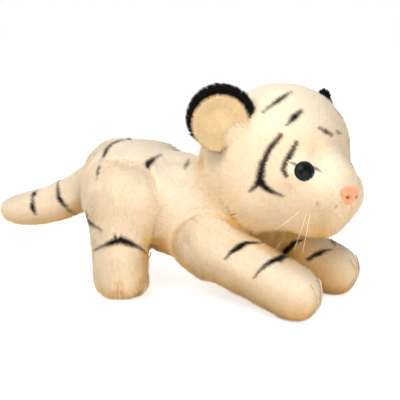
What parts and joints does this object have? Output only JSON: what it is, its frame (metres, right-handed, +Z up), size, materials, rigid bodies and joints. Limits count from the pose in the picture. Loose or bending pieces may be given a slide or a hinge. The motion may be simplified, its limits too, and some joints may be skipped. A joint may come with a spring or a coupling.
{
  "type": "plush tiger",
  "caption": "Stuffed white tiger cub with stretched-out forelegs, cupped ears, safety eyes, nylon whiskers and a long tail.",
  "frame": {"origin": "on the floor under the middle of the toy's outer box", "axes": "+X forward towards the nose, +Y to the toy's left, +Z up"},
  "size_m": [0.3338, 0.1486, 0.1623],
  "materials": {
    "cream_plush": "long soft cream-white plush pile, stripes dyed in",
    "black_plush": "black plush pile",
    "ear_liner_plush": "short pale ochre plush",
    "polyester_filling": "loose polyester fibre",
    "eye_acrylic": "polished, near black with a teal iris",
    "washer_nylon": "moulded",
    "nose_flock": "flocked pink-orange",
    "whisker_nylon": "translucent monofilament",
    "toe_thread": "sewing thread"
  },
  "bodies": {
    "torso": {"torso_cover": "cream_plush", "torso_filling": "polyester_filling"},
    "head": {"head_cover": "cream_plush", "head_filling": "polyester_filling", "eye_left": "eye_acrylic", "eye_right": "eye_acrylic", "eye_washer_left": "washer_nylon", "eye_washer_right": "washer_nylon", "nose": "nose_flock", "nose_washer": "washer_nylon", "whisker_left_1": "whisker_nylon", "whisker_left_2": "whisker_nylon", "whisker_left_3": "whisker_nylon", "whisker_right_1": "whisker_nylon", "whisker_right_2": "whisker_nylon", "whisker_right_3": "whisker_nylon"},
    "ear_left": {"ear_left_back": "black_plush", "ear_left_liner": "ear_liner_plush"},
    "ear_right": {"ear_right_back": "black_plush", "ear_right_liner": "ear_liner_plush"},
    "foreleg_left": {"foreleg_left_cover": "cream_plush", "foreleg_left_filling": "polyester_filling", "foreleg_left_toe_line_1": "toe_thread", "foreleg_left_toe_line_2": "toe_thread"},
    "foreleg_right": {"foreleg_right_cover": "cream_plush", "foreleg_right_filling": "polyester_filling", "foreleg_right_toe_line_1": "toe_thread", "foreleg_right_toe_line_2": "toe_thread"},
    "hind_leg_left": {"hind_leg_left_cover": "cream_plush", "hind_leg_left_filling": "polyester_filling", "hind_leg_left_toe_line_1": "toe_thread", "hind_leg_left_toe_line_2": "toe_thread"},
    "hind_leg_right": {"hind_leg_right_cover": "cream_plush", "hind_leg_right_filling": "polyester_filling", "hind_leg_right_toe_line_1": "toe_thread", "hind_leg_right_toe_line_2": "toe_thread"},
    "tail": {"tail_cover": "cream_plush", "tail_filling": "polyester_filling"}
  },
  "joints": [
    {"name": "head_turn", "type": "hinge", "parent": "torso", "child": "head", "pos_m": [0.05515, -0.00312, 0.086], "axis": [0.7431, 0, 0.6691], "range_deg": [-20, 35], "stiffness_Nm_per_rad": 0.6},
    {"name": "ear_left_fold", "type": "hinge", "parent": "head", "child": "ear_left", "pos_m": [0.09772, 0.04053, 0.11544], "axis": [-0.2496, 0.6583, -0.7102], "range_deg": [-12, 12], "stiffness_Nm_per_rad": 0.08},
    {"name": "ear_right_fold", "type": "hinge", "parent": "head", "child": "ear_right", "pos_m": [0.06586, -0.04468, 0.1242], "axis": [0.6643, 0.4508, 0.5962], "range_deg": [-12, 12], "stiffness_Nm_per_rad": 0.08},
    {"name": "foreleg_left_swing", "type": "hinge", "parent": "torso", "child": "foreleg_left", "pos_m": [0.04315, 0.02688, 0.0425], "axis": [0, 1, 0], "range_deg": [-7, 8], "stiffness_Nm_per_rad": 2},
    {"name": "foreleg_right_swing", "type": "hinge", "parent": "torso", "child": "foreleg_right", "pos_m": [0.04315, -0.03312, 0.0425], "axis": [0, 1, 0], "range_deg": [-7, 8], "stiffness_Nm_per_rad": 2},
    {"name": "hind_leg_left_swing", "type": "hinge", "parent": "torso", "child": "hind_leg_left", "pos_m": [-0.03185, 0.03088, 0.069], "axis": [0, 1, 0], "range_deg": [-8, 8], "stiffness_Nm_per_rad": 2},
    {"name": "hind_leg_right_swing", "type": "hinge", "parent": "torso", "child": "hind_leg_right", "pos_m": [-0.03185, -0.03712, 0.069], "axis": [0, 1, 0], "range_deg": [-8, 8], "stiffness_Nm_per_rad": 2},
    {"name": "tail_wag", "type": "hinge", "parent": "torso", "child": "tail", "pos_m": [-0.06085, -0.00312, 0.089], "axis": [0.7863, 0, -0.6178], "range_deg": [-12, 12], "stiffness_Nm_per_rad": 0.3}
  ]
}
